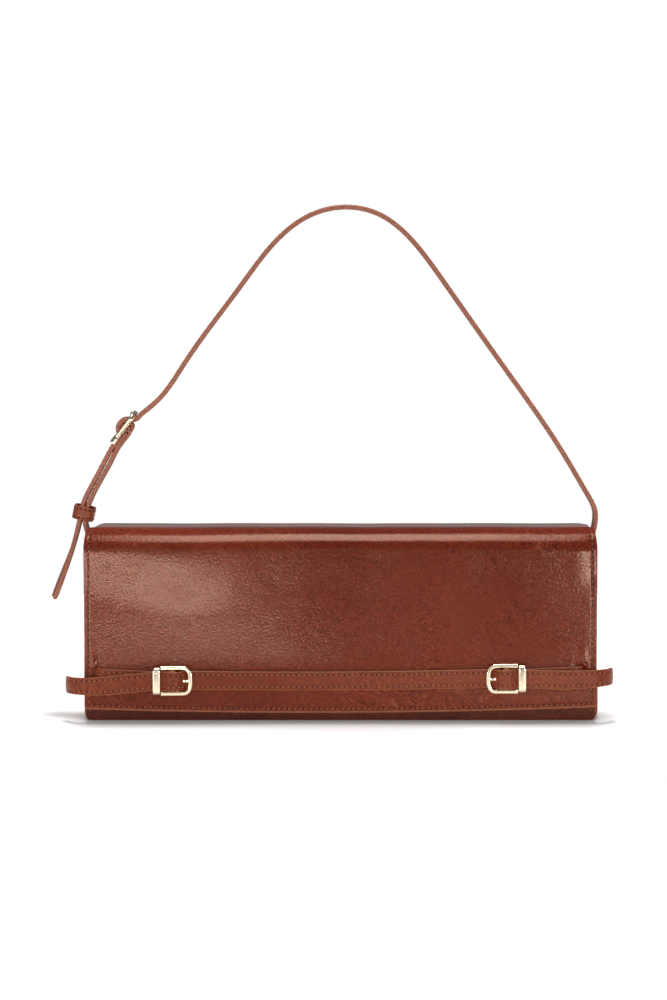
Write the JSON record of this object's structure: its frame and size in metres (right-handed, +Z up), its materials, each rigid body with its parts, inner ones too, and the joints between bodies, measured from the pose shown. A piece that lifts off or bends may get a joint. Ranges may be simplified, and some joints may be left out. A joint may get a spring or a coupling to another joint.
{
  "type": "clutch bag",
  "caption": "Slim leather clutch bag with a fold-over flap, a buckled belt across its front and a buckled wrist and shoulder strap that swings on riveted sides.",
  "frame": {"origin": "on the resting plane, under the middle of the base", "axes": "+X to the bag's right as seen from its front, +Y from the front to the back, +Z up"},
  "size_m": [0.3408, 0.057, 0.3088],
  "materials": {
    "leather": "polished, fine grain",
    "stiffener_board": "matte board",
    "lining_cloth": "plain weave",
    "gold_metal": "polished",
    "plated_steel": "satin"
  },
  "bodies": {
    "bag": {"front_panel": "leather", "back_panel": "leather", "base_panel": "leather", "left_gusset": "leather", "right_gusset": "leather", "front_board": "stiffener_board", "back_board": "stiffener_board", "base_board": "stiffener_board", "lining": "lining_cloth", "left_front_snap": "plated_steel", "right_front_snap": "plated_steel", "left_strap_rivet": "gold_metal", "right_strap_rivet": "gold_metal", "left_rivet_washer": "plated_steel", "right_rivet_washer": "plated_steel"},
    "flap": {"flap_leather": "leather", "flap_lining": "lining_cloth", "left_flap_snap": "plated_steel", "right_flap_snap": "plated_steel", "belt": "leather", "left_belt_tab": "leather", "right_belt_tab": "leather", "left_buckle_frame": "gold_metal", "right_buckle_frame": "gold_metal", "left_buckle_keeper": "gold_metal", "right_buckle_keeper": "gold_metal", "left_buckle_pin": "gold_metal", "right_buckle_pin": "gold_metal"},
    "left_prong": {"left_buckle_prong": "gold_metal"},
    "right_prong": {"right_buckle_prong": "gold_metal"},
    "strap": {"shoulder_strap": "leather", "buckle_strap": "leather", "strap_buckle_frame": "gold_metal", "strap_buckle_keeper": "gold_metal", "strap_buckle_pin": "gold_metal"},
    "strap_prong": {"strap_buckle_prong": "gold_metal"},
    "loop": {"strap_loop": "leather"}
  },
  "joints": [
    {"name": "flap_open", "type": "hinge", "parent": "bag", "child": "flap", "pos_m": [0, 0.002, 0.1164], "axis": [-1, 0, 0], "range_deg": [0, 105]},
    {"name": "strap_swing", "type": "hinge", "parent": "bag", "child": "strap", "pos_m": [0, 0.0137, 0.0936], "axis": [-1, 0, 0], "range_deg": [-15, 110]},
    {"name": "left_prong_lift", "type": "hinge", "parent": "flap", "child": "left_prong", "pos_m": [-0.1, -0.03005, 0.02445], "axis": [0.0086, 0, -1], "range_deg": [0, 8]},
    {"name": "right_prong_lift", "type": "hinge", "parent": "flap", "child": "right_prong", "pos_m": [0.1, -0.03005, 0.02616], "axis": [-0.0086, 0, 1], "range_deg": [0, 8]},
    {"name": "strap_prong_lift", "type": "hinge", "parent": "strap", "child": "strap_prong", "pos_m": [-0.1311, 0.0137, 0.1744], "axis": [0, -1, 0], "range_deg": [0, 8]},
    {"name": "loop_slide", "type": "slide", "parent": "strap", "child": "loop", "axis": [0.33, 0, 0.944], "range_m": [0, 0.006]}
  ]
}
